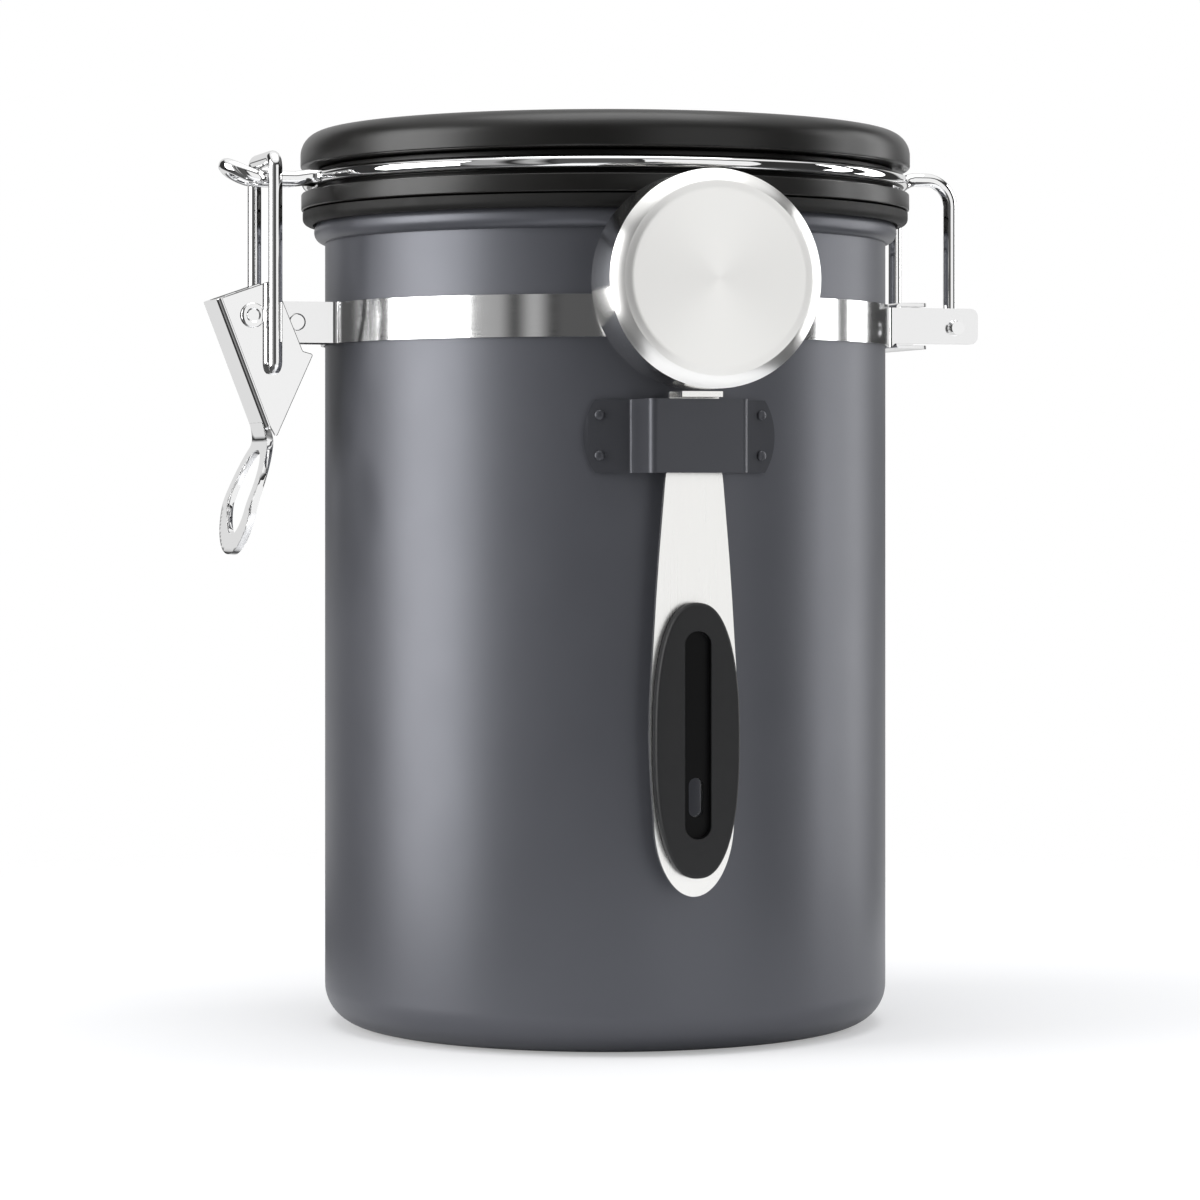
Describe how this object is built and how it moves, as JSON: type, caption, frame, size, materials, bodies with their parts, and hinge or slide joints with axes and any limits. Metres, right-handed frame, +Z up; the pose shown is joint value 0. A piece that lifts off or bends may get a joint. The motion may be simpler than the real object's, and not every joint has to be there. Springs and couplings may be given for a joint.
{
  "type": "coffee canister",
  "caption": "Round steel coffee canister with a bail-wire hinged lid, an over-centre wire latch, date dials, a vent valve and a scoop that hangs in a holder.",
  "frame": {"origin": "centre of the flat underside", "axes": "+Z up along the can's axis; the hinge is toward +X, the latch toward -X and the scoop close to -Y"},
  "size_m": [0.163, 0.1496, 0.1864],
  "materials": {
    "slate_paint": "satin",
    "polished_steel": "polished",
    "satin_steel": "satin",
    "lid_black": "satin",
    "black_rubber": "matte",
    "clear_silicone": "satin",
    "filter_felt": "matte"
  },
  "bodies": {
    "canister": {"can_body": "slate_paint", "band_front": "polished_steel", "band_rear": "polished_steel", "hinge_channel": "polished_steel", "band_pin": "polished_steel", "fulcrum_rivet": "polished_steel", "scoop_holder": "slate_paint", "holder_rivet_1": "slate_paint", "holder_rivet_2": "slate_paint", "holder_rivet_3": "slate_paint", "holder_rivet_4": "slate_paint"},
    "lid": {"lid_cover": "lid_black", "lid_base": "lid_black", "lid_gasket": "black_rubber", "bail_wire": "polished_steel", "vent_cap": "lid_black", "valve_seat": "lid_black", "valve_retainer": "lid_black", "filter_pad": "filter_felt", "filter_cage": "lid_black"},
    "day_dial_body": {"day_dial": "lid_black"},
    "month_dial_body": {"month_dial": "lid_black"},
    "flap": {"valve_flap": "clear_silicone"},
    "lever": {"latch_lever": "polished_steel"},
    "loop": {"pull_loop": "polished_steel"},
    "scoop": {"scoop_bowl": "satin_steel", "scoop_handle": "satin_steel", "scoop_grip": "black_rubber"}
  },
  "joints": [
    {"name": "lid_hinge", "type": "hinge", "parent": "canister", "child": "lid", "pos_m": [0.0724, 0, 0.1459], "axis": [0, 1, 0], "range_deg": [0, 200]},
    {"name": "lever_pivot", "type": "hinge", "parent": "canister", "child": "lever", "pos_m": [-0.0778, 0, 0.1471], "axis": [0, 1, 0], "range_deg": [0, 115]},
    {"name": "loop_swing", "type": "hinge", "parent": "lever", "child": "loop", "pos_m": [-0.0737, 0, 0.13625], "axis": [0, 1, 0], "range_deg": [-95, 0]},
    {"name": "scoop_lift", "type": "slide", "parent": "canister", "child": "scoop", "axis": [0, 0, 1], "range_m": [0, 0.16]},
    {"name": "day_dial_turn", "type": "hinge", "parent": "lid", "child": "day_dial_body", "pos_m": [0, 0, 0.1864], "axis": [0, 0, 1], "continuous": true},
    {"name": "month_dial_turn", "type": "hinge", "parent": "lid", "child": "month_dial_body", "pos_m": [0, 0, 0.1864], "axis": [0, 0, 1], "continuous": true},
    {"name": "valve_flap_lift", "type": "slide", "parent": "lid", "child": "flap", "axis": [0, 0, 1], "range_m": [0, 0.0008]}
  ],
  "couplings": [
    {"joint": "loop_swing", "follows": "lever_pivot", "ratio": -0.825}
  ]
}
